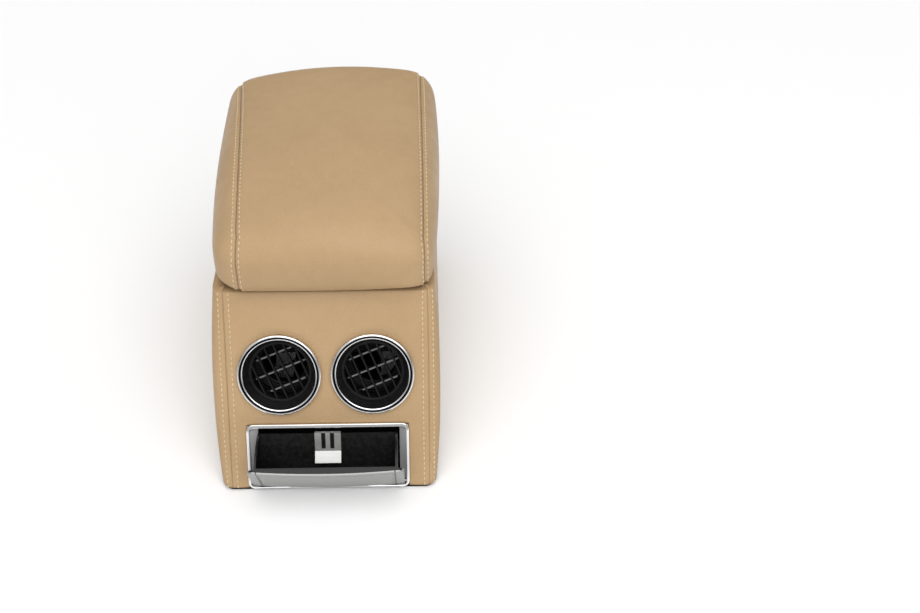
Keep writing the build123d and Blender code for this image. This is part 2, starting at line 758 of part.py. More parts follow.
def hinge_leaf_plate(low, first_knuckle):
    """One hinge leaf: a thin plate, every other knuckle and the tabs that join them."""
    pitch = hinge_width / hinge_knuckles
    leaf = slab(low, low + hinge_leaf, -hinge_width / 2, hinge_width / 2, rear_y - hinge_leaf_depth, rear_y)
    width = pitch - hinge_knuckle_gap
    for index in range(first_knuckle, hinge_knuckles, 2):
        x = (index - (hinge_knuckles - 1) / 2) * pitch
        knuckle = Pos(x, hinge_y, hinge_z) * Cylinder(hinge_knuckle_radius, width, rotation=(0, 90, 0))
        leaf += knuckle + slab(low, low + hinge_leaf, x - width / 2, x + width / 2, rear_y - 1, hinge_y)
    return leaf


def hinge_bore(radius):
    """The hinge pin's axis as a long cylinder."""
    return Pos(0, hinge_y, hinge_z) * Cylinder(radius, 2 * hinge_width, rotation=(0, 90, 0))


def hinge_body_leaf():
    """Leaf that lies on the rim and holds the pin."""
    leaf = hinge_leaf_plate(rim_height, 0) - hinge_bore(hinge_pin_radius)
    for x, y in hinge_screw_places:
        leaf -= Pos(x, y, rim_height + hinge_leaf) * Rot(180, 0, 0) * body_leaf_screw()
    return leaf


def hinge_lid_leaf():
    """Leaf under the pan, which turns on the pin."""
    leaf = hinge_leaf_plate(lid_bottom - hinge_leaf, 1) - hinge_bore(hinge_pin_radius + hinge_clearance)
    for x, y in hinge_screw_places:
        leaf -= Pos(x, y, lid_bottom - hinge_leaf) * lid_leaf_screw()
    return leaf


def hinge_pin():
    """Steel pin through all the knuckles."""
    return Pos(0, hinge_y, hinge_z) * Cylinder(hinge_pin_radius, hinge_width, rotation=(0, 90, 0))


def body_leaf_screw():
    """Screw that holds the fixed leaf to the rim."""
    return countersunk_screw(hinge_screw_radius, hinge_screw_head, hinge_screw_length)


def lid_leaf_screw():
    """Shorter screw that ends inside the pan."""
    return countersunk_screw(hinge_screw_radius, hinge_screw_head, hinge_leaf + 0.9 * pan_thickness)


def hinge_screws(screw, height, turn):
    """A row of hinge screws whose heads lie at the given height."""
    return side_by_side([Pos(x, y, height) * Rot(turn, 0, 0) * screw for x, y in hinge_screw_places])


def lid_buffers():
    """Two rubber stops with stems pushed into the rim."""
    pads = []
    for side in (-1, 1):
        pad = Cylinder(buffer_radius, lid_gap - buffer_gap, align=(Align.CENTER, Align.CENTER, Align.MIN))
        pad = fillet(pad.edges().group_by(Axis.Z)[-1], lid_gap / 4)
        stem = Cylinder(buffer_stem_radius, buffer_stem_length, align=(Align.CENTER, Align.CENTER, Align.MAX))
        pads.append(Pos(side * buffer_across / 2, buffer_y, rim_height) * (pad + stem))
    return side_by_side(pads)


def write_nodes(nodes):
    """Writes each node to its own file."""
    os.makedirs("parts", exist_ok=True)
    for name, shape in nodes.items():
        export_step(shape, f"parts/{name}.step")


def build():
    """All nodes by name."""
    nodes = {
        "body_shell": body_shell(),
        "base_plate": base_plate(),
        "base_screws": base_screws(),
        "storage_bin": storage_bin(),
        "ashtray_bezel": ashtray_bezel(),
        "ashtray_housing": ashtray_housing(),
        "ashtray_door": ashtray_door(),
        "ashtray_tray": ashtray_tray(),
        "ashtray_pivots": ashtray_pivots(),
        "stub_clip": stub_clip(),
        "lid_cushion": lid_cushion(),
        "lid_pan": lid_pan(),
        "lid_pan_screws": lid_pan_screws(),
        "lid_buffers": lid_buffers(),
        "hinge_body_leaf": hinge_body_leaf(),
        "hinge_lid_leaf": hinge_lid_leaf(),
        "hinge_pin": hinge_pin(),
        "hinge_body_screws": hinge_screws(body_leaf_screw(), rim_height + hinge_leaf, 180),
        "hinge_lid_screws": hinge_screws(lid_leaf_screw(), lid_bottom - hinge_leaf, 0),
    }
    nodes.update(covers())
    for name, side in (("left", -1), ("right", 1)):
        place = vent_place(side)
        turned = place * Rot(0, 0, drum_turn)
        nodes[f"{name}_vent_bezel"] = place * vent_bezel()
        nodes[f"{name}_vent_housing"] = place * vent_housing()
        nodes[f"{name}_vent_drum"] = turned * vent_drum()
        for row, height in louvre_rows.items():
            nodes[f"{name}_vent_louvre_{row}"] = turned * louvre(height)
        nodes[f"{name}_vent_link_bar"] = turned * link_bar()
    return nodes


if __name__ == "__main__":
    write_nodes(build())
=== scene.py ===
"""Looks for the car centre armrest: leather, stitching, chrome, plastic, light and camera."""
import math

import bmesh
import bpy
import numpy as np
from mathutils import Matrix, Vector
from mathutils.bvhtree import BVHTree
from mathutils.kdtree import KDTree


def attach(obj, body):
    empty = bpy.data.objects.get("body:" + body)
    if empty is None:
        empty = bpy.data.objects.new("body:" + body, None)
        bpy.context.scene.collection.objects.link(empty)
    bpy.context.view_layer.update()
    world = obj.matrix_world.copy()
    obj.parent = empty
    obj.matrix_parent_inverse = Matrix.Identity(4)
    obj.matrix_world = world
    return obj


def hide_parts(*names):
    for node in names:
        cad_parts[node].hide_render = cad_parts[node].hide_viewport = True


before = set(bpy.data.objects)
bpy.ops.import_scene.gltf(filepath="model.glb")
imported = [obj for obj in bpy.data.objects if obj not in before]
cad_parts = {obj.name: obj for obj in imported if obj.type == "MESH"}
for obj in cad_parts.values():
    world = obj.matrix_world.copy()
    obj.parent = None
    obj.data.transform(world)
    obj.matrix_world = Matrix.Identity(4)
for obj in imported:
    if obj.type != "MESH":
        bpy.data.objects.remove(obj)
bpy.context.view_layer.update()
MM = 0.001

# Sizes repeated from the part's source, in millimetres
BODY_WIDTH, SIDE_BOW, BASE_DEPTH, RIM_HEIGHT = 183.0, 4.0, 320.0, 152.0
PANEL_LEAN = math.radians(25.0)
FRONT_CORNER, REAR_CORNER = 9.0, 20.0
COVER_BOTTOM, RIGHT_SEAM, REAR_SEAM = 3.0, 82.0, 61.5
VENT_ACROSS, VENT_HEIGHT, VENT_BEZEL_RADIUS = 74.4, 100.0, 33.0
ASH_BEZEL_HALF, ASH_BEZEL_TOP = 65.5, 58.2
LID_GAP, LID_OVERHANG = 2.8, 7.0
LID_NOSE_HALF, LID_REAR_HALF = 88.5, 94.0
LID_HEIGHT, LID_NOSE_HEIGHT, LID_REAR_HEIGHT = 70.0, 52.0, 66.0
PAN_INSET, PAN_NOSE_INSET, PAN_CORNER, PAN_THICKNESS = 9.0, 16.0, 26.0, 4.0
FRONT_Y, REAR_Y = -BASE_DEPTH / 2, BASE_DEPTH / 2
LID_BOTTOM = RIM_HEIGHT + LID_GAP

# Sewn leather departs from them: the left front seam lies further in, and the lid's nose further out
LEFT_SEAM, PAD_REACH = 79.0, 3.0
LID_FRONT = FRONT_Y + RIM_HEIGHT * math.tan(PANEL_LEAN) - LID_OVERHANG - PAD_REACH
LID_REAR = REAR_Y
LID_LENGTH, LID_MIDDLE = LID_REAR - LID_FRONT, (LID_REAR + LID_FRONT) / 2


# Camera, light and floor
IMAGE_WIDTH, IMAGE_HEIGHT = 920, 613
FOCAL_PIXELS = 1235.0
CAMERA_DOWN, CAMERA_HEADING, CAMERA_ROLL = math.radians(40.0), math.radians(2.3), math.radians(-0.8)
AIM_DEPTH = 986.0
AIM_PIXEL = (326.0, 374.0)
SKY_POWER, SKY_ANGLE, SKY_DIRECTION = 1.70, math.radians(70.0), (-0.04, 0.42, -1.0)
SOFT_BOX_PLACE, SOFT_BOX_TARGET = (0.25, -1.08, 0.75), (0.0, 0.0, 0.12)
SOFT_BOX_SIZE, SOFT_BOX_POWER = (0.9, 0.35), 2.4
# The surround's strength, as ranges of its direction and of the strength
SURROUND_ABOVE, SURROUND_AHEAD = (0.18, 0.60, 0.10, 0.62), (-0.90, -0.40, 0.38, 0.0)
FLOOR_REACH, FLOOR_WHITE, FLOOR_ROUGHNESS = 30.0, 0.92, 0.6


def add_camera():
    """Camera placed so that the middle of the two vents falls on its pixel."""
    forward = Vector((
        math.sin(CAMERA_HEADING) * math.cos(CAMERA_DOWN),
        math.cos(CAMERA_HEADING) * math.cos(CAMERA_DOWN),
        -math.sin(CAMERA_DOWN),
    ))
    right = Vector((math.cos(CAMERA_HEADING), -math.sin(CAMERA_HEADING), 0.0))
    up = right.cross(forward)
    turn = Matrix.Rotation(CAMERA_ROLL, 3, forward)
    right, up = turn @ right, turn @ up
    up_the_panel = Vector((0.0, math.sin(PANEL_LEAN), math.cos(PANEL_LEAN)))
    aim = Vector((0.0, FRONT_Y, 0.0)) + VENT_HEIGHT * up_the_panel
    offset_right = (AIM_PIXEL[0] - IMAGE_WIDTH / 2) * AIM_DEPTH / FOCAL_PIXELS
    offset_up = (IMAGE_HEIGHT / 2 - AIM_PIXEL[1]) * AIM_DEPTH / FOCAL_PIXELS
    place = aim - forward * AIM_DEPTH - right * offset_right - up * offset_up
    data = bpy.data.cameras.new("camera")
    data.sensor_fit = "HORIZONTAL"
    data.sensor_width = 36.0
    data.lens = FOCAL_PIXELS * data.sensor_width / IMAGE_WIDTH
    data.clip_start = 0.01
    camera = bpy.data.objects.new("camera", data)
    axes = Matrix((right, up, -forward)).transposed().to_4x4()
    camera.matrix_world = Matrix.Translation(place * MM) @ axes
    bpy.context.collection.objects.link(camera)
    bpy.context.scene.camera = camera


def add_soft_box():
    """A soft box in front that points at the armrest; its places are in metres."""
    data = bpy.data.lights.new("front", "AREA")
    data.shape = "RECTANGLE"
    data.size, data.size_y = SOFT_BOX_SIZE
    data.energy = SOFT_BOX_POWER
    light = bpy.data.objects.new("front", data)
    light.location = SOFT_BOX_PLACE
    aim = Vector(SOFT_BOX_TARGET) - Vector(SOFT_BOX_PLACE)
    light.rotation_euler = aim.to_track_quat("-Z", "Y").to_euler()
    bpy.context.collection.objects.link(light)


def add_light():
    """White studio: an even light from above and in front, and a surround that is dim low at the sides."""
    world = bpy.data.worlds.new("studio")
    bpy.context.scene.world = world
    world.use_nodes = True
    tree = world.node_tree
    background = tree.nodes["Background"]
    background.inputs["Color"].default_value = (1.0, 1.0, 1.0, 1.0)
    direction = tree.nodes.new("ShaderNodeTexCoord").outputs["Generated"]
    split = tree.nodes.new("ShaderNodeSeparateXYZ")
    tree.links.new(direction, split.inputs["Vector"])
    above = spread(tree, split.outputs["Z"], *SURROUND_ABOVE)
    ahead = spread(tree, split.outputs["Y"], *SURROUND_AHEAD)
    tree.links.new(math_node(tree, "ADD", above, ahead), background.inputs["Strength"])
    data = bpy.data.lights.new("sky", "SUN")
    data.energy = SKY_POWER
    data.angle = SKY_ANGLE
    sky = bpy.data.objects.new("sky", data)
    sky.rotation_euler = Vector(SKY_DIRECTION).to_track_quat("-Z", "Y").to_euler()
    bpy.context.collection.objects.link(sky)
    add_soft_box()


def add_floor():
    """Pale floor far larger than the object."""
    mesh = bpy.data.meshes.new("floor")
    corners = [(x * FLOOR_REACH, y * FLOOR_REACH, 0.0) for x, y in ((-1, -1), (1, -1), (1, 1), (-1, 1))]
    mesh.from_pydata(corners, [], [(0, 1, 2, 3)])
    floor = bpy.data.objects.new("floor", mesh)
    bpy.context.collection.objects.link(floor)
    material = bpy.data.materials.new("floor_white")
    material.use_nodes = True
    shader = material.node_tree.nodes["Principled BSDF"]
    shader.inputs["Base Color"].default_value = (FLOOR_WHITE, FLOOR_WHITE, FLOOR_WHITE, 1.0)
    shader.inputs["Roughness"].default_value = FLOOR_ROUGHNESS
    mesh.materials.append(material)


# Materials: shared node groups first, then one material for each finish
# How near a point lies to a line of painted shade (a seam or the lid's foot), and the width and darkness of
# that painted shade; the width also sets a groove in the relief
SHADE_LINE_NEAR, SEAM_REACH, FOLD_AND_SHADE_WIDTH, FOLD_SHADE = "shade_line_near", 20.0, 1.1, 0.45
TONE_RANGE = (0.3, 0.7)


def socket_group(name, outputs, inputs=()):
    """An empty shader group with coordinates and the named values as inputs, and the named outputs."""
    group = bpy.data.node_groups.new(name, "ShaderNodeTree")
    group.interface.new_socket("Vector", in_out="INPUT", socket_type="NodeSocketVector")
    for value in inputs:
        group.interface.new_socket(value, in_out="INPUT", socket_type="NodeSocketFloat")
    for output in outputs:
        group.interface.new_socket(output, in_out="OUTPUT", socket_type="NodeSocketFloat")
    return group, group.nodes.new("NodeGroupInput"), group.nodes.new("NodeGroupOutput")


def texture(tree, kind, vector, **values):
    """A texture node at the given coordinates; capitalised names are sockets, the rest are settings."""
    node = tree.nodes.new(kind)
    for name, value in values.items():
        if name[0].isupper():
            node.inputs[name].default_value = value
        else:
            setattr(node, name, value)
    tree.links.new(vector, node.inputs["Vector"])
    return node


def math_node(tree, operation, first, second):
    """A math node; each operand is a socket or a number."""
    node = tree.nodes.new("ShaderNodeMath")
    node.operation = operation
    for slot, operand in zip(node.inputs, (first, second)):
        if isinstance(operand, (int, float)):
            slot.default_value = operand
        else:
            tree.links.new(operand, slot)
    return node.outputs["Value"]


def spread(tree, value, low, high, to_low, to_high):
    """Maps a range of a value to another, smoothly."""
    node = tree.nodes.new("ShaderNodeMapRange")
    node.interpolation_type = "SMOOTHSTEP"
    tree.links.new(value, node.inputs["Value"])
    for name, number in zip(("From Min", "From Max", "To Min", "To Max"), (low, high, to_low, to_high)):
        node.inputs[name].default_value = number
    return node.outputs["Result"]


def scaled(tree, vector, factors):
    """Coordinates stretched by three factors."""
    node = tree.nodes.new("ShaderNodeMapping")
    node.inputs["Scale"].default_value = factors
    tree.links.new(vector, node.inputs["Vector"])
    return node.outputs["Vector"]


def weighted(tree, *parts):
    """The sum of values, each times its weight."""
    total = None
    for value, weight in parts:
        share = math_node(tree, "MULTIPLY", value, weight)
        total = share if total is None else math_node(tree, "ADD", total, share)
    return total


def leather_group():
    """Pebbled grain with fine creases, slow changes of tone as in a dyed hide, and a groove with painted
    shade near seams and the lid's foot.
    """
    outputs = ("Height", "Tone", "Gloss", "Fold_And_Shade")
    group, given, result = socket_group("leather_grain", outputs, ("Seam",))
    vector = given.outputs["Vector"]
    cells = texture(group, "ShaderNodeTexVoronoi", vector, feature="DISTANCE_TO_EDGE", Scale=560.0)
    fine = texture(group, "ShaderNodeTexNoise", vector, Scale=1500.0, Detail=3.0).outputs["Fac"]
    crease = texture(group, "ShaderNodeTexNoise", vector, Scale=95.0, Detail=5.0).outputs["Fac"]
    cloud = texture(group, "ShaderNodeTexNoise", vector, Scale=14.0, Detail=4.0).outputs["Fac"]
    pebble = spread(group, cells.outputs["Distance"], 0.0, 0.22, 0.0, 1.0)
    # Painted shade and a groove: near a seam or the lid's foot line, this darkens the colour and lowers the
    # relief
    fold_and_shade = spread(group, given.outputs["Seam"], 1.0 - FOLD_AND_SHADE_WIDTH / SEAM_REACH, 1.0, 0.0, 1.0)
    height = weighted(group, (pebble, 0.65), (fine, 0.35), (fold_and_shade, -2.5))
    tone = weighted(group, (cloud, 0.55), (crease, 0.30), (pebble, 0.15))
    gloss = weighted(group, (crease, 0.6), (cloud, 0.4))
    for name, value in zip(outputs, (height, tone, gloss, fold_and_shade)):
        group.links.new(value, result.inputs[name])
    return group


def moulded_group():
    """Spark-eroded texture of moulded plastic, with faint flow marks and scuffs."""
    outputs = ("Height", "Tone", "Gloss")
    group, given, result = socket_group("moulded_grain", outputs)
    vector = given.outputs["Vector"]
    pits = texture(group, "ShaderNodeTexVoronoi", vector, Scale=1400.0).outputs["Distance"]
    dust = texture(group, "ShaderNodeTexNoise", vector, Scale=260.0, Detail=5.0).outputs["Fac"]
    drawn = scaled(group, vector, (8.0, 20.0, 60.0))
    flow = texture(group, "ShaderNodeTexNoise", drawn, Scale=1.5, Detail=3.0).outputs["Fac"]
    tone = weighted(group, (dust, 0.5), (flow, 0.5))
    for name, value in zip(outputs, (pits, tone, dust)):
        group.links.new(value, result.inputs[name])
    return group


def brushed_group():
    """Fine lines along X with patches of handling marks, for worked metal."""
    outputs = ("Height", "Tone", "Gloss")
    group, given, result = socket_group("brushed_lines", outputs)
    vector = given.outputs["Vector"]
    drawn = scaled(group, vector, (20.0, 2200.0, 2200.0))
    lines = texture(group, "ShaderNodeTexNoise", drawn, Scale=1.0, Detail=4.0).outputs["Fac"]
    marks = texture(group, "ShaderNodeTexNoise", vector, Scale=55.0, Detail=5.0).outputs["Fac"]
    tone = weighted(group, (lines, 0.6), (marks, 0.4))
    for name, value in zip(outputs, (lines, tone, marks)):
        group.links.new(value, result.inputs[name])
    return group


GROUPS = {"leather": leather_group(), "moulded": moulded_group(), "brushed": brushed_group()}

# Places where a finish changes, in millimetres, for the door's dark lines and for a painted highlight,
# painted shade and a painted reflection; each pair is where the change starts and ends
LOUVRE_EDGE = (-14.9, -14.5)
RING_GROOVE_RADIUS, RING_GROOVE = 31.0, (0.75, 1.05)
REVEAL_TOP, REVEAL_SIDE = (51.0, 54.0), (57.0, 57.4)
DOOR_LINE_SIDE, DOOR_LINE = 54.5, (0.35, 0.65)


def distance_along(tree, vector, direction, start):
    """How far a point lies along a direction in the shared frame, in millimetres from a start."""
    node = tree.nodes.new("ShaderNodeVectorMath")
    node.operation = "DOT_PRODUCT"
    node.inputs[1].default_value = Vector(direction) / MM
    tree.links.new(vector, node.inputs[0])
    return math_node(tree, "SUBTRACT", node.outputs["Value"], start)


def size_of(tree, value):
    """The size of a value without its sign."""
    return math_node(tree, "ABSOLUTE", value, 0.0)


def off_middle(tree, vector):
    """How far a point lies to either side of the middle."""
    return size_of(tree, distance_along(tree, vector, (1.0, 0.0, 0.0), 0.0))


def up_panel(tree, vector, start=0.0):
    """How far a point lies up the front panel, from a start."""
    upward = (0.0, math.sin(PANEL_LEAN), math.cos(PANEL_LEAN))
    return distance_along(tree, vector, upward, FRONT_Y * math.sin(PANEL_LEAN) + start)


def louvre_edge_highlight(tree, vector):
    """Marks the front edges of the louvres, by how far they stand out of the front panel; they are painted
    lighter grey there as a painted highlight.
    """
    normal = (0.0, -math.cos(PANEL_LEAN), math.sin(PANEL_LEAN))
    out = distance_along(tree, vector, normal, -FRONT_Y * math.cos(PANEL_LEAN))
    return spread(tree, out, *LOUVRE_EDGE, 0.0, 1.0)


def ring_groove_shade(tree, vector):
    """Marks the groove between the two beads of a vent's ring, where the chrome is painted near-black as
    painted shade.
    """
    across = math_node(tree, "SUBTRACT", off_middle(tree, vector), VENT_ACROSS / 2)
    up = up_panel(tree, vector, VENT_HEIGHT)
    squares = [math_node(tree, "MULTIPLY", side, side) for side in (across, up)]
    radius = math_node(tree, "SQRT", math_node(tree, "ADD", *squares), 0.0)
    away = math_node(tree, "SUBTRACT", radius, RING_GROOVE_RADIUS)
    return spread(tree, size_of(tree, away), *RING_GROOVE, 1.0, 0.0)


def tray_reveal_reflection(tree, vector):
    """Marks the two sides of the ashtray's mouth, below the frame's upper corners, where the chrome is
    painted near-white as a painted reflection.
    """
    low = spread(tree, up_panel(tree, vector), *REVEAL_TOP, 1.0, 0.0)
    beside = spread(tree, off_middle(tree, vector), *REVEAL_SIDE, 0.0, 1.0)
    return math_node(tree, "MULTIPLY", low, beside)


def door_line(tree, vector):
    """Marks the two fine lines at the ends of the ashtray door's inset face."""
    away = math_node(tree, "SUBTRACT", off_middle(tree, vector), DOOR_LINE_SIDE)
    return spread(tree, size_of(tree, away), *DOOR_LINE, 1.0, 0.0)


def blend(tree, factor, first, second):
    """Goes from the first colour to the second; the first is a colour or a socket."""
    node = tree.nodes.new("ShaderNodeMix")
    node.data_type = "RGBA"
    tree.links.new(factor, node.inputs["Factor"])
    if isinstance(first, tuple):
        node.inputs["A"].default_value = (*first, 1.0)
    else:
        tree.links.new(first, node.inputs["A"])
    node.inputs["B"].default_value = (*second, 1.0)
    return node.outputs["Result"]


def finish(name, group, dark, light, rough, bump, depth, metallic=0.0, paint=None, specular=0.5):
    """A material from one of the shared groups; paint is a mark, and the colour and metal where it holds."""
    material = bpy.data.materials.new(name)
    material.use_nodes = True
    tree = material.node_tree
    shader = tree.nodes["Principled BSDF"]
    place = tree.nodes.new("ShaderNodeTexCoord").outputs["Object"]
    grain = tree.nodes.new("ShaderNodeGroup")
    grain.node_tree = GROUPS[group]
    tree.links.new(place, grain.inputs["Vector"])
    color = blend(tree, spread(tree, grain.outputs["Tone"], *TONE_RANGE, 0.0, 1.0), dark, light)
    # Painted shade: the leather colour goes darker near seams and the lid's foot line
    if "Fold_And_Shade" in grain.outputs:
        seam = tree.nodes.new("ShaderNodeAttribute")
        seam.attribute_name = SHADE_LINE_NEAR
        tree.links.new(seam.outputs["Fac"], grain.inputs["Seam"])
        color = blend(tree, grain.outputs["Fold_And_Shade"], color, tuple(FOLD_SHADE * part for part in dark))
    shader.inputs["Metallic"].default_value = metallic
    shader.inputs["Specular IOR Level"].default_value = specular
    if paint:
        mark, coat, coat_metallic = paint
        held = mark(tree, place)
        color = blend(tree, held, color, coat)
        if coat_metallic != metallic:
            metal = spread(tree, held, 0.0, 1.0, metallic, coat_metallic)
            tree.links.new(metal, shader.inputs["Metallic"])
    tree.links.new(color, shader.inputs["Base Color"])
    gloss = spread(tree, grain.outputs["Gloss"], *TONE_RANGE, *rough)
    tree.links.new(gloss, shader.inputs["Roughness"])
    relief = tree.nodes.new("ShaderNodeBump")
    relief.inputs["Strength"].default_value = bump
    relief.inputs["Distance"].default_value = depth * MM
    tree.links.new(grain.outputs["Height"], relief.inputs["Height"])
    tree.links.new(relief.outputs["Normal"], shader.inputs["Normal"])
    return material


LEATHER = finish(
    "tan_leather", "leather", (0.419, 0.282, 0.151), (0.460, 0.313, 0.173), (0.48, 0.36), 0.35, 0.25,
    specular=0.18,
)
CHROME = ((0.84, 0.84, 0.85), (0.90, 0.90, 0.91), (0.05, 0.11), 0.02, 0.02, 1.0)
# Vent rings: chrome with painted shade, near-black, in the groove between the beads
RING_CHROME = finish("ring_chrome", "brushed", *CHROME, (ring_groove_shade, (0.015, 0.015, 0.015), 1.0))
# Ashtray frame: chrome with a painted reflection, near-white, on the sides of its mouth
TRAY_CHROME = finish("tray_chrome", "brushed", *CHROME, (tray_reveal_reflection, (0.92, 0.92, 0.92), 0.2))
SILVER = finish(
    "satin_silver", "brushed", (0.31, 0.31, 0.30), (0.37, 0.37, 0.36), (0.36, 0.46), 0.08, 0.03, 0.55,
    (door_line, (0.06, 0.06, 0.06), 0.55),
)
STEEL = finish(
    "sprung_steel", "brushed", (0.42, 0.42, 0.41), (0.52, 0.52, 0.51), (0.40, 0.52), 0.10, 0.03, 0.7,
)
SOOT, COAL = (0.006, 0.006, 0.006), (0.012, 0.012, 0.012)
BLACK = finish("black_plastic", "moulded", SOOT, COAL, (0.42, 0.55), 0.25, 0.06, specular=0.12)
GLOSS_BLACK = finish(
    "tray_black", "moulded", SOOT, (0.013, 0.013, 0.013), (0.22, 0.36), 0.06, 0.03, specular=0.3,
)
GRILLE = finish("grille_black", "moulded", SOOT, COAL, (0.34, 0.46), 0.12, 0.04, specular=0.12)
# Louvres: black with a painted highlight, lighter grey, along their front edges
LOUVRE = finish(
    "louvre_black", "moulded", (0.008, 0.008, 0.008), (0.014, 0.014, 0.014), (0.32, 0.44), 0.12, 0.04,
    paint=(louvre_edge_highlight, (0.24, 0.24, 0.24), 0.0), specular=0.2,
)
RUBBER = finish(
    "soft_rubber", "moulded", (0.012, 0.012, 0.012), (0.024, 0.023, 0.022), (0.65, 0.80), 0.30, 0.08,
)
FELT = finish(
    "bin_lining", "moulded", (0.018, 0.017, 0.016), (0.030, 0.028, 0.026), (0.78, 0.90), 0.50, 0.15,
)
THREAD = finish(
    "cream_thread", "brushed", (0.60, 0.48, 0.31), (0.72, 0.60, 0.41), (0.55, 0.70), 0.40, 0.08,
)

NODE_FINISH = {
    "body_shell": BLACK, "base_plate": BLACK, "lid_pan": BLACK, "ashtray_housing": BLACK,
    "storage_bin": FELT, "lid_buffers": RUBBER, "base_screws": STEEL, "lid_pan_screws": STEEL,
    "hinge_body_leaf": STEEL, "hinge_lid_leaf": STEEL, "hinge_pin": STEEL,
    "hinge_body_screws": STEEL, "hinge_lid_screws": STEEL, "ashtray_pivots": STEEL, "stub_clip": STEEL,
    "ashtray_bezel": TRAY_CHROME, "ashtray_door": SILVER, "ashtray_tray": GLOSS_BLACK,
    "front_cover": LEATHER, "left_cover": LEATHER, "right_cover": LEATHER, "rear_cover": LEATHER,
    "lid_cushion": LEATHER,
}
for side in ("left", "right"):
    NODE_FINISH[f"{side}_vent_bezel"] = RING_CHROME
    NODE_FINISH[f"{side}_vent_housing"] = BLACK
    NODE_FINISH[f"{side}_vent_drum"] = GRILLE
    NODE_FINISH[f"{side}_vent_link_bar"] = BLACK
    for row in ("upper", "middle", "lower"):
        NODE_FINISH[f"{side}_vent_louvre_{row}"] = LOUVRE


def dress_nodes():
    """Gives every carried node its finish."""
    for name, material in NODE_FINISH.items():
        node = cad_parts[name]
        node.data.materials.clear()
        node.data.materials.append(material)


# Padded lid: cells across, along and up, rounds of evening them out, and roundings of its edges
LID_CELLS, LID_ROUNDS, LID_PULL = (26, 40, 10), 80, 0.6
LID_CORNER, LID_TOP_ROUND, LID_FOOT_ROUND = 20.0, 25.0, 4.0
# How it departs from a plain box: bowed ends, a crown, a narrow nose, full sides and a top a little askew
LID_NOSE_BOW, LID_REAR_BOW, LID_CROWN = 1.5, 5.0, 0.16
LID_PINCH, LID_BULGE, LID_SHIFT, LID_RISE, LID_LEAN = 3.0, 2.4, 1.5, 4.0, 5.0
# How much smaller it is before it is blown up as cloth, with what pressure and how far
LID_SHRINK, LID_PRESSURE, LID_SWELL = 2.0, 4.0, 4.5
# Its seams: half their distance and their shift at the nose and the rear, their groove and their stitches
LID_SEAM_NOSE, LID_SEAM_REAR, LID_SEAM_POWER = 72.5, 82.0, 1.5
LID_SEAM_SHIFT_NOSE, LID_SEAM_SHIFT_REAR = 8.0, -3.5
LID_SEAM_DEPTH, LID_SEAM_WIDTH = 1.2, 2.2
LID_ROW, LID_PITCH, LID_SEAM_STEP = 3.0, 4.8, 0.5
# How far up from its foot lies a line of painted shade, standing for the shadow in the gap under the lid
# where its leather turns under
LID_SHADE_LINE_UP = 0.8


def rounded_box(across, along, half_across, half_along, corner):
    """Signed distance from the outline of a rectangle with rounded corners."""
    over = np.abs(across) - (half_across - corner)
    past = np.abs(along) - (half_along - corner)
    return np.hypot(np.maximum(over, 0), np.maximum(past, 0)) + np.minimum(np.maximum(over, past), 0) - corner


def lid_share(y):
    """How far a point lies along the lid, from 0 at the nose to 1 at the rear."""
    return np.clip((y - LID_FRONT) / LID_LENGTH, 0, 1)


def seam_place(side, y):
    """Where the left (-1) or right (1) seam lies across the lid; the hand-sewn top sits a little askew."""
    share = lid_share(y) ** LID_SEAM_POWER
    shift = LID_SEAM_SHIFT_NOSE + (LID_SEAM_SHIFT_REAR - LID_SEAM_SHIFT_NOSE) * share
    return shift + side * (LID_SEAM_NOSE + (LID_SEAM_REAR - LID_SEAM_NOSE) * share)


def lid_value(points):
    """Below zero inside the lid before it is blown up, and above zero outside."""
    x, y, z = points.T
    share = lid_share(y)
    half = LID_NOSE_HALF + (LID_REAR_HALF - LID_NOSE_HALF) * share - LID_SHRINK
    half = half + LID_BULGE * 4 * share * (1 - share) - LID_PINCH * (1 - share) ** 4
    x = (x - LID_SHIFT * (1 - 2 * share)) * LID_NOSE_HALF / half
    off_centre = (x / LID_NOSE_HALF) ** 2
    ease = share * share * (3 - 2 * share)
    y = y - (1 - ease) * LID_NOSE_BOW * off_centre + ease * LID_REAR_BOW * off_centre
    plan = rounded_box(x, y - LID_MIDDLE, LID_NOSE_HALF, LID_LENGTH / 2 - LID_SHRINK, LID_CORNER)
    along = (y - LID_MIDDLE) / (LID_LENGTH / 2)
    end_height = np.where(along < 0, LID_NOSE_HEIGHT, LID_REAR_HEIGHT)
    height = (LID_HEIGHT - (LID_HEIGHT - end_height) * along**2 - LID_SHRINK) * (1 - LID_CROWN * off_centre)
    height = height + LID_RISE * share + LID_LEAN * share * x / LID_NOSE_HALF
    up = (z - LID_BOTTOM) * LID_HEIGHT / height
    far, deepest = 1000.0, -60.0
    inward = np.maximum(plan, deepest) + far
    over = rounded_box(inward, up - LID_HEIGHT + far, far, far, LID_TOP_ROUND)
    under = rounded_box(inward, far - up, far, far, LID_FOOT_ROUND)
    return np.maximum(over, under)


def settle(points, rounds=1):
    """Moves points on to the lid's surface."""
    step, flattest = 0.05, 0.04
    for _ in range(rounds):
        change = [lid_value(points + step * axis) - lid_value(points - step * axis) for axis in np.eye(3)]
        slope = np.stack(change, axis=1) / (2 * step)
        steep = np.maximum((slope**2).sum(axis=1), flattest)
        points = points - (lid_value(points) / steep)[:, None] * slope
    return points


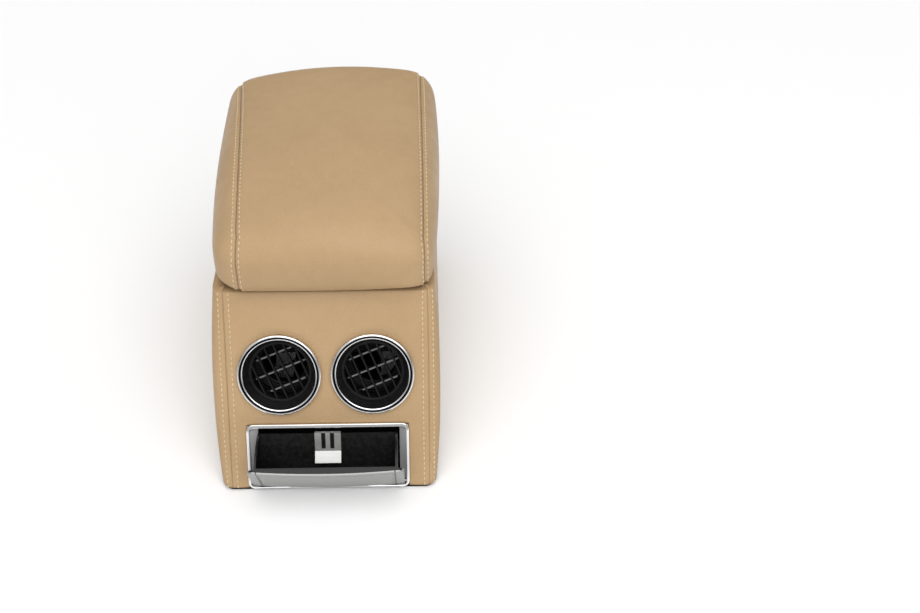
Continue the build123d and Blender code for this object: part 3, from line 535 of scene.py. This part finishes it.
def lid_grid():
    """Quads over the front, top, rear and sides of a box, with each point's place in the grid."""
    across, along, up = LID_CELLS
    index = {}
    faces = []

    def add_quad(*places):
        faces.append([index.setdefault(place, len(index)) for place in places])

    for j in range(along):
        for i in range(across):
            add_quad((i, j, up), (i + 1, j, up), (i + 1, j + 1, up), (i, j + 1, up))
        for k in range(up):
            add_quad((0, j + 1, k), (0, j, k), (0, j, k + 1), (0, j + 1, k + 1))
            add_quad((across, j, k), (across, j + 1, k), (across, j + 1, k + 1), (across, j, k + 1))
    for i in range(across):
        for k in range(up):
            add_quad((i, 0, k), (i + 1, 0, k), (i + 1, 0, k + 1), (i, 0, k + 1))
            add_quad((i + 1, along, k), (i, along, k), (i, along, k + 1), (i + 1, along, k + 1))
    return np.array(list(index)), faces


def lid_start(keys, faces):
    """The lid's grid laid evenly over its surface, with the edges of the side panels kept on the seams."""
    across, along, up = LID_CELLS
    place = keys / np.array(LID_CELLS)
    on_side = (keys[:, 0] == 0) | (keys[:, 0] == across)
    seam = on_side & ((keys[:, 1] == 0) | (keys[:, 1] == along) | (keys[:, 2] == up))
    foot = keys[:, 2] == 0
    y = LID_FRONT + place[:, 1] * LID_LENGTH
    side = 2 * place[:, 0] - 1
    left, right = seam_place(-1, y), seam_place(1, y)
    x = np.where(on_side & ~seam, side * LID_NOSE_HALF, left + (right - left) * place[:, 0])
    points = np.stack([x, y, LID_BOTTOM + place[:, 2] * LID_HEIGHT], axis=1)
    pairs = {(a, b) for face in faces for a, b in zip(face, face[1:] + face[:1])}
    pairs |= {(b, a) for a, b in pairs}
    rows, columns = np.array(sorted(pairs)).T
    keep = (~seam[rows] | seam[columns]) & (~foot[rows] | foot[columns])
    rows, columns = rows[keep], columns[keep]
    count = np.bincount(rows, minlength=len(points))[:, None]
    points = settle(points, 8)
    for _ in range(LID_ROUNDS):
        total = np.zeros_like(points)
        np.add.at(total, rows, points[columns])
        even = np.where(count > 0, total / np.maximum(count, 1), points)
        points = settle((1 - LID_PULL) * points + LID_PULL * even)
        points[seam, 0] = seam_place(side[seam], points[seam, 1])
        points[foot, 2] = LID_BOTTOM
    return settle(points, 3), seam, foot


def lid_sole(keys, points, faces):
    """Closes the lid below: a narrow leather border, a step up round the pan and a floor above it."""
    across, along, _ = LID_CELLS
    ring = [(i, 0) for i in range(across)] + [(across, j) for j in range(along)]
    ring += [(i, along) for i in range(across, 0, -1)] + [(0, j) for j in range(along, 0, -1)]
    place = {tuple(key): number for number, key in enumerate(keys)}
    outer = [place[(i, j, 0)] for i, j in ring]
    clearance = 0.3
    low = np.array([PAN_INSET - LID_NOSE_HALF, LID_FRONT + PAD_REACH + PAN_NOSE_INSET]) + PAN_CORNER
    high = np.array([LID_NOSE_HALF - PAN_INSET, LID_REAR - PAN_INSET]) - PAN_CORNER
    flat = points[outer, :2]
    inner = np.clip(flat, low, high)
    away = flat - inner
    edge = inner + away / np.linalg.norm(away, axis=1)[:, None] * (PAN_CORNER + clearance)
    levels = (LID_BOTTOM, LID_BOTTOM + PAN_THICKNESS + clearance)
    rings = [np.column_stack([edge, np.full(len(edge), z)]) for z in levels]
    first, second = len(points), len(points) + len(outer)
    steps = [outer, list(range(first, second)), list(range(second, second + len(outer)))]
    for one, two in zip(steps, steps[1:]):
        for number in range(len(outer)):
            after = (number + 1) % len(outer)
            faces.append([one[after], one[number], two[number], two[after]])
    faces.append(steps[-1][::-1])
    return np.concatenate([points, *rings])


def mesh_object(name, points, faces, material):
    """A smooth mesh object from points in millimetres."""
    mesh = bpy.data.meshes.new(name)
    mesh.from_pydata((np.asarray(points) * MM).tolist(), [], faces)
    mesh.shade_smooth()
    mesh.materials.append(material)
    piece = bpy.data.objects.new(name, mesh)
    bpy.context.collection.objects.link(piece)
    return piece


def read_points(mesh, kind="co"):
    """A mesh's points or point normals as an array."""
    flat = np.empty(3 * len(mesh.vertices))
    mesh.vertices.foreach_get(kind, flat)
    return flat.reshape(-1, 3)


def swell(piece, held, pressure, reach):
    """Blows a pad up as cloth, with some points held and the others moved no further than reach."""
    frames = 20
    start = read_points(piece.data)
    group = piece.vertex_groups.new(name="held")
    group.add(np.nonzero(held)[0].tolist(), 1.0, "REPLACE")
    cloth = piece.modifiers.new("cloth", "CLOTH")
    cloth.settings.vertex_group_mass = group.name
    cloth.settings.use_pressure = True
    cloth.settings.uniform_pressure_force = pressure
    cloth.settings.effector_weights.gravity = 0.0
    for number in range(1, frames + 1):
        bpy.context.scene.frame_set(number)
    blown = read_points(piece.evaluated_get(bpy.context.evaluated_depsgraph_get()).data)
    piece.modifiers.remove(cloth)
    piece.vertex_groups.remove(group)
    bpy.context.scene.frame_set(1)
    move = blown - start
    length = np.linalg.norm(move, axis=1)[:, None]
    share = np.minimum(1, reach * MM / np.maximum(length, 1e-9))
    piece.data.vertices.foreach_set("co", (start + move * share).ravel())
    piece.data.update()


def refine(piece, levels):
    """Applies a subdivision surface."""
    smooth = piece.modifiers.new("smooth", "SUBSURF")
    smooth.levels = smooth.render_levels = levels
    mesh = bpy.data.meshes.new_from_object(piece.evaluated_get(bpy.context.evaluated_depsgraph_get()))
    piece.modifiers.remove(smooth)
    piece.data = mesh


def lid_seams(mesh):
    """The two seams of the refined lid, from nose to rear, in millimetres."""
    on_seam = np.empty(len(mesh.vertices), np.float32)
    mesh.attributes["on_seam"].data.foreach_get("value", on_seam)
    points = read_points(mesh) / MM
    lines = []
    sewn, centre = 0.999, LID_BOTTOM - 20.0
    for side in (-1, 1):
        line = points[(on_seam > sewn) & (points[:, 0] * side > 0)]
        turn = np.arctan2(line[:, 2] - centre, line[:, 1] - LID_MIDDLE)
        lines.append(line[np.argsort(-turn)])
    return lines


def evenly(line, pitch):
    """A line's points again, at an even spacing."""
    reach = np.concatenate([[0], np.cumsum(np.linalg.norm(np.diff(line, axis=0), axis=1))])
    count = max(2, int(round(reach[-1] / pitch)) + 1)
    stops = np.linspace(0, reach[-1], count)
    return np.stack([np.interp(stops, reach, line[:, axis]) for axis in range(3)], axis=1)


def mark_shade_lines(mesh, away):
    """Stores how near each point is to a line of painted shade, such as a seam, from its distance in
    millimetres.
    """
    near = mesh.attributes.new(SHADE_LINE_NEAR, "FLOAT", "POINT")
    near.data.foreach_set("value", np.clip(1 - away / SEAM_REACH, 0, 1).astype(np.float32))


def press_seams(mesh, lines, depth, width):
    """Draws the lid in along its seams, so that it swells on both sides of them, and marks the lines of
    painted shade: its seams, and a line just above its foot.
    """
    stops = np.concatenate([evenly(line, LID_SEAM_STEP) for line in lines])
    tree = KDTree(len(stops))
    for number, stop in enumerate(stops):
        tree.insert(stop, number)
    tree.balance()
    points = read_points(mesh) / MM
    away = np.array([tree.find(point)[2] for point in points])
    normals = read_points(mesh, "normal")
    drawn = points - normals * (depth * np.exp(-((away / width) ** 2)))[:, None]
    mesh.vertices.foreach_set("co", (drawn * MM).ravel())
    # Painted shade: a dark line just above the lid's foot, standing for the shadow in the gap under the lid
    foot = np.abs(points[:, 2] - LID_BOTTOM - LID_SHADE_LINE_UP)
    mark_shade_lines(mesh, np.minimum(away, foot))
    mesh.update()


def add_lid():
    """The padded lid: two sewn side panels and one long panel over the front, top and rear."""
    keys, faces = lid_grid()
    points, seam, foot = lid_start(keys, faces)
    points = lid_sole(keys, points, faces)
    below = len(points) - len(seam)
    lid = mesh_object("lid_pad", points, faces, LEATHER)
    mark = lid.data.attributes.new("on_seam", "FLOAT", "POINT")
    mark.data.foreach_set("value", np.concatenate([seam, np.zeros(below)]).astype(np.float32))
    swell(lid, np.concatenate([seam | foot, np.ones(below, bool)]), LID_PRESSURE, LID_SWELL)
    refine(lid, 2)
    lines = lid_seams(lid.data)
    press_seams(lid.data, lines, LID_SEAM_DEPTH, LID_SEAM_WIDTH)
    lid.data.attributes.remove(lid.data.attributes["on_seam"])
    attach(lid, "lid")
    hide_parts("lid_cushion")
    add_stitches("lid_stitches", rows_beside([sheet_of(lid.data)], lines, LID_ROW), LID_PITCH, "lid")


# Stitching: the gap between two stitches, their thickness and lift, and the step along a row
STITCH_GAP, STITCH_RADIUS, STITCH_LIFT, ROW_STEP = 1.3, 0.46, 0.10, 2.0


def sheet_of(mesh):
    """A mesh's points in millimetres, and the corners of its faces."""
    return [v.co / MM for v in mesh.vertices], [list(face.vertices) for face in mesh.polygons]


def rows_beside(sheets, lines, offset):
    """Two rows of stitches beside each seam, laid on the outside of the sewn pieces."""
    points, faces = [], []
    for corners, cells in sheets:
        first = len(points)
        points.extend(corners)
        faces.extend([first + corner for corner in cell] for cell in cells)
    tree = BVHTree.FromPolygons(points, faces)
    rows = []
    for line in lines:
        stops = evenly(line, ROW_STEP)
        ahead = np.gradient(stops, axis=0)
        for side in (-1, 1):
            row = []
            for stop, run in zip(stops, ahead):
                normal = tree.find_nearest(stop)[1]
                beside = Vector(stop) + side * offset * normal.cross(Vector(run)).normalized()
                place, upward = tree.find_nearest(beside)[:2]
                row.append(place + STITCH_LIFT * upward)
            rows.append(np.array(row))
    return rows


def stitch_tree():
    """Geometry nodes that lay one stitch after another along a line."""
    tree = bpy.data.node_groups.new("sewn_row", "GeometryNodeTree")
    tree.interface.new_socket("Geometry", in_out="INPUT", socket_type="NodeSocketGeometry")
    for name in ("Pitch", "Length", "Radius"):
        tree.interface.new_socket(name, in_out="INPUT", socket_type="NodeSocketFloat")
    tree.interface.new_socket("Thread", in_out="INPUT", socket_type="NodeSocketMaterial")
    tree.interface.new_socket("Geometry", in_out="OUTPUT", socket_type="NodeSocketGeometry")
    given, result = tree.nodes.new("NodeGroupInput"), tree.nodes.new("NodeGroupOutput")
    line = tree.nodes.new("GeometryNodeMeshToCurve")
    stops = tree.nodes.new("GeometryNodeResampleCurve")
    stops.mode = "LENGTH"
    ball = tree.nodes.new("GeometryNodeMeshUVSphere")
    ball.inputs["Segments"].default_value, ball.inputs["Rings"].default_value = 8, 6
    ball.inputs["Radius"].default_value = 1.0
    size = tree.nodes.new("ShaderNodeCombineXYZ")
    shape = tree.nodes.new("GeometryNodeTransform")
    tangent = tree.nodes.new("GeometryNodeInputTangent")
    turn = tree.nodes.new("FunctionNodeAlignRotationToVector")
    turn.axis = "X"
    lay = tree.nodes.new("GeometryNodeInstanceOnPoints")
    real = tree.nodes.new("GeometryNodeRealizeInstances")
    smooth = tree.nodes.new("GeometryNodeSetShadeSmooth")
    dye = tree.nodes.new("GeometryNodeSetMaterial")
    half = math_node(tree, "MULTIPLY", given.outputs["Length"], 0.5)
    for source, target in (
        (given.outputs["Geometry"], line.inputs["Mesh"]),
        (line.outputs["Curve"], stops.inputs["Curve"]),
        (given.outputs["Pitch"], stops.inputs["Length"]),
        (half, size.inputs["X"]),
        (given.outputs["Radius"], size.inputs["Y"]),
        (given.outputs["Radius"], size.inputs["Z"]),
        (ball.outputs["Mesh"], shape.inputs["Geometry"]),
        (size.outputs["Vector"], shape.inputs["Scale"]),
        (tangent.outputs["Tangent"], turn.inputs["Vector"]),
        (stops.outputs["Curve"], lay.inputs["Points"]),
        (shape.outputs["Geometry"], lay.inputs["Instance"]),
        (turn.outputs["Rotation"], lay.inputs["Rotation"]),
        (lay.outputs["Instances"], real.inputs["Geometry"]),
        (real.outputs["Geometry"], smooth.inputs["Geometry"]),
        (smooth.outputs["Geometry"], dye.inputs["Geometry"]),
        (given.outputs["Thread"], dye.inputs["Material"]),
        (dye.outputs["Geometry"], result.inputs["Geometry"]),
    ):
        tree.links.new(source, target)
    return tree


STITCH_TREE = stitch_tree()


def add_stitches(name, rows, pitch, body):
    """Stitches along the given rows, turned into a plain mesh that moves with a body."""
    points, edges = [], []
    for row in rows:
        first = len(points)
        points.extend((row * MM).tolist())
        edges.extend((number, number + 1) for number in range(first, len(points) - 1))
    mesh = bpy.data.meshes.new(name)
    mesh.from_pydata(points, edges, [])
    piece = bpy.data.objects.new(name, mesh)
    bpy.context.collection.objects.link(piece)
    sew = piece.modifiers.new("sew", "NODES")
    sew.node_group = STITCH_TREE
    values = {
        "Pitch": pitch * MM, "Length": (pitch - STITCH_GAP) * MM, "Radius": STITCH_RADIUS * MM,
        "Thread": THREAD,
    }
    for item in STITCH_TREE.interface.items_tree:
        if item.in_out == "INPUT" and item.name in values:
            sew[item.identifier] = values[item.name]
    sewn = bpy.data.meshes.new_from_object(piece.evaluated_get(bpy.context.evaluated_depsgraph_get()))
    piece.modifiers.remove(sew)
    piece.data = sewn
    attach(piece, body)


# Leather panels glued over the console: cells of their grids, and points along a seam and an outline
SKIN_CELL, SKIN_ROWS, REAR_COLUMNS, SEAM_STOPS, OUTLINE_STOPS = 1.7, 60, 50, 80, 200
CORNER_CELLS, SIDE_CELLS, REAR_CORNER_CELLS, BACK_CELLS = 12, 110, 16, 6
# How they sit on the console, turn in over its rim and roll in at a seam, and how faint the painted shade at
# a seam is
SKIN_THICKNESS, SKIN_SINK, SKIN_TURN_IN, RIM_ROUND, RIM_LIFT = 1.2, 0.12, 10.0, 0.6, 0.25
SKIN_ROLL, SKIN_ROLL_WIDTH, SEAM_GAP, SEAM_SHADE_EASE = 0.2, 2.2, 0.04, 1.0
# Faint waves in them
RIPPLE_DEPTH, RIPPLE_FADE = 0.10, 15.0
RIPPLE_ALONG, RIPPLE_UP, RIPPLE_SWAY, SWAY_SIZE = 17.0, 23.0, 29.0, 1.3
# Cuts for the trim, how it presses the leather in, and the stitches and the ends of their seams
VENT_CUT, ASH_CUT_HALF, ASH_CUT_TOP = 29.8, ASH_BEZEL_HALF - 0.2, ASH_BEZEL_TOP - 1.1
PRESS_DEPTH, PRESS_WIDTH = 0.8, 3.6
BODY_ROW, BODY_PITCH, SEAM_END = 4.5, 4.3, 1.0


def half_width(z):
    """Half of the console's width at a height, with its bowed sides."""
    return BODY_WIDTH / 2 - SIDE_BOW * (2 * z / RIM_HEIGHT - 1) ** 2


def even_marks(*marks):
    """Even steps between neighbouring marks, each no longer than a skin cell."""
    parts = []
    for start, end in zip(marks, marks[1:]):
        cells = int(np.ceil(abs(end - start) / SKIN_CELL))
        parts.append(np.linspace(start, end, cells + 1)[:-1])
    return np.concatenate([*parts, marks[-1:]])


def front_point(x, z):
    """A point on the leaning front, with its rounded corners; x and z may be arrays."""
    over = np.clip(np.abs(x) - half_width(z) + FRONT_CORNER, 0, FRONT_CORNER)
    back = (FRONT_CORNER - np.sqrt(FRONT_CORNER**2 - over**2)) / math.cos(PANEL_LEAN)
    return np.stack([x, FRONT_Y + z * math.tan(PANEL_LEAN) + back, z], axis=-1)


def side_outline(z, seam):
    """The right side's outline at one height, from the front seam round to the rear seam."""
    half = half_width(z)
    across = np.linspace(seam + SEAM_GAP / 2, half, OUTLINE_STOPS)
    line = front_point(across, np.full_like(across, z))
    length = np.linalg.norm(np.diff(line, axis=0), axis=1).sum()
    corner = evenly(line, length / CORNER_CELLS)[:, :2].tolist()
    flat_end = REAR_Y - REAR_CORNER
    flat = [(half, y) for y in np.linspace(corner[-1][1], flat_end, SIDE_CELLS + 1)[1:]]
    rear = [
        (half - REAR_CORNER * (1 - math.cos(a)), REAR_Y - REAR_CORNER * (1 - math.sin(a)))
        for a in np.linspace(0, math.pi / 2, REAR_CORNER_CELLS + 1)[1:]
    ]
    back_end = REAR_SEAM + SEAM_GAP / 2
    back = [(x, REAR_Y) for x in np.linspace(half - REAR_CORNER, back_end, BACK_CELLS + 1)[1:]]
    return np.array([(x, y, z) for x, y in corner + flat + rear + back])


def grid_normals(grid):
    """Outward normals of a grid of points whose rows go up and whose columns go round to the right."""
    normals = np.cross(np.gradient(grid, axis=1), np.gradient(grid, axis=0))
    return normals / np.linalg.norm(normals, axis=2)[:, :, None]


def trim_press(grid):
    """How deep the rings of the vents and the ashtray's frame press the front panel in, close to them."""
    across, up = np.abs(grid[:, :, 0]), grid[:, :, 2] / math.cos(PANEL_LEAN)
    vent = np.hypot(across - VENT_ACROSS / 2, up - VENT_HEIGHT) - VENT_BEZEL_RADIUS
    tray = np.maximum(across - ASH_BEZEL_HALF, up - ASH_BEZEL_TOP)
    away = np.maximum(np.minimum(vent, tray), 0)
    return PRESS_DEPTH * np.exp(-((away / PRESS_WIDTH) ** 2))


def ripple(reach, height, away):
    """Faint waves of the glued leather, which die out towards the seams."""
    sway = SWAY_SIZE * np.sin(height / RIPPLE_SWAY)
    wave = np.sin(reach / RIPPLE_ALONG + sway) * np.sin(height / RIPPLE_UP)
    return RIPPLE_DEPTH * wave * np.clip(away / RIPPLE_FADE, 0, 1)


def turned_in(grid, normals):
    """A panel's grid with two more rows, which turn in over the console's rim."""
    inward = normals[-1] * (1, 1, 0)
    inward /= np.linalg.norm(inward, axis=1)[:, None]
    rows = [grid[-1] - inward * depth + (0, 0, RIM_LIFT) for depth in (RIM_ROUND, SKIN_TURN_IN)]
    return np.concatenate([grid, rows])


def add_skin(name, grid, turn_in=True, hole=None, press=None):
    """A leather panel over a grid, rolled in at its seams and given a thickness; returns its outer sheet."""
    along = np.linalg.norm(np.diff(grid, axis=1), axis=2)
    reach = np.concatenate([np.zeros((len(grid), 1)), np.cumsum(along, axis=1)], axis=1)
    away = np.minimum(reach, reach[:, -1:] - reach)
    normals = grid_normals(grid)
    drop = SKIN_ROLL * np.clip(1 - away / SKIN_ROLL_WIDTH, 0, 1) ** 2 + SKIN_SINK
    drop = drop - ripple(reach, grid[:, :, 2], away)
    if press:
        drop = drop + press(grid)
    grid = grid - normals * drop[:, :, None]
    if turn_in:
        grid = turned_in(grid, normals)
        away = np.concatenate([away, away[-1:], away[-1:]])
    rows, columns = grid.shape[:2]
    faces = []
    for j in range(rows - 1):
        for i in range(columns - 1):
            if not (hole and hole(grid[j:j + 2, i:i + 2].reshape(-1, 3))):
                low = j * columns + i
                faces.append([low, low + 1, low + columns + 1, low + columns])
    skin = mesh_object(name, grid.reshape(-1, 3), faces, LEATHER)
    # Painted shade along the seams, made fainter by adding the seam offset to the distance
    mark_shade_lines(skin.data, away.ravel() + SEAM_SHADE_EASE)
    sheet = sheet_of(skin.data)
    thick = skin.modifiers.new("thick", "SOLIDIFY")
    thick.thickness = SKIN_THICKNESS * MM
    thick.offset = -1.0
    skin.data = bpy.data.meshes.new_from_object(skin.evaluated_get(bpy.context.evaluated_depsgraph_get()))
    skin.modifiers.clear()
    bare = bmesh.new()
    bare.from_mesh(skin.data)
    bmesh.ops.delete(bare, geom=[v for v in bare.verts if not v.link_faces], context="VERTS")
    bare.to_mesh(skin.data)
    bare.free()
    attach(skin, "console")
    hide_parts(name.replace("_skin", "_cover"))
    return sheet


def in_front_cut(cell):
    """Whether a cell of the front panel lies in a vent's hole or in the ashtray's opening."""
    across, up = cell[:, 0], cell[:, 2] / math.cos(PANEL_LEAN)
    vent = np.hypot(np.abs(across) - VENT_ACROSS / 2, up - VENT_HEIGHT)
    in_tray = np.abs(across.mean()) < ASH_CUT_HALF and up.mean() < ASH_CUT_TOP
    return vent.min() < VENT_CUT or in_tray


def add_skins():
    """The four leather panels and the twin rows of stitches beside their seams."""
    left_edge, right_edge = SEAM_GAP / 2 - LEFT_SEAM, RIGHT_SEAM - SEAM_GAP / 2
    levels = even_marks(COVER_BOTTOM, ASH_CUT_TOP * math.cos(PANEL_LEAN), RIM_HEIGHT)
    columns = even_marks(left_edge, -ASH_CUT_HALF, ASH_CUT_HALF, right_edge)
    front = front_point(*np.meshgrid(columns, levels))
    heights = np.linspace(COVER_BOTTOM, RIM_HEIGHT, SKIN_ROWS)
    right = np.stack([side_outline(z, RIGHT_SEAM) for z in heights])
    left = np.stack([side_outline(z, LEFT_SEAM) for z in heights])
    back = REAR_SEAM - SEAM_GAP / 2
    across, up = np.meshgrid(np.linspace(back, -back, REAR_COLUMNS), heights)
    rear = np.stack([across, np.full_like(across, REAR_Y), up], axis=-1)
    sheets = [
        add_skin("front_skin", front, hole=in_front_cut, press=trim_press),
        add_skin("right_skin", right),
        add_skin("left_skin", left[:, ::-1] * (-1, 1, 1)),
        add_skin("rear_skin", rear, turn_in=False),
    ]
    seams = []
    height = np.linspace(COVER_BOTTOM + SEAM_END, RIM_HEIGHT - SEAM_END, SEAM_STOPS)
    for front_x, rear_x in ((-LEFT_SEAM, -REAR_SEAM), (RIGHT_SEAM, REAR_SEAM)):
        seams.append(front_point(np.full_like(height, front_x), height))
        seams.append(np.column_stack([np.full_like(height, rear_x), np.full_like(height, REAR_Y), height]))
    add_stitches("body_stitches", rows_beside(sheets, seams, BODY_ROW), BODY_PITCH, "console")


add_camera()
add_light()
add_floor()
dress_nodes()
add_lid()
add_skins()
bpy.context.scene.view_settings.view_transform = "Standard"
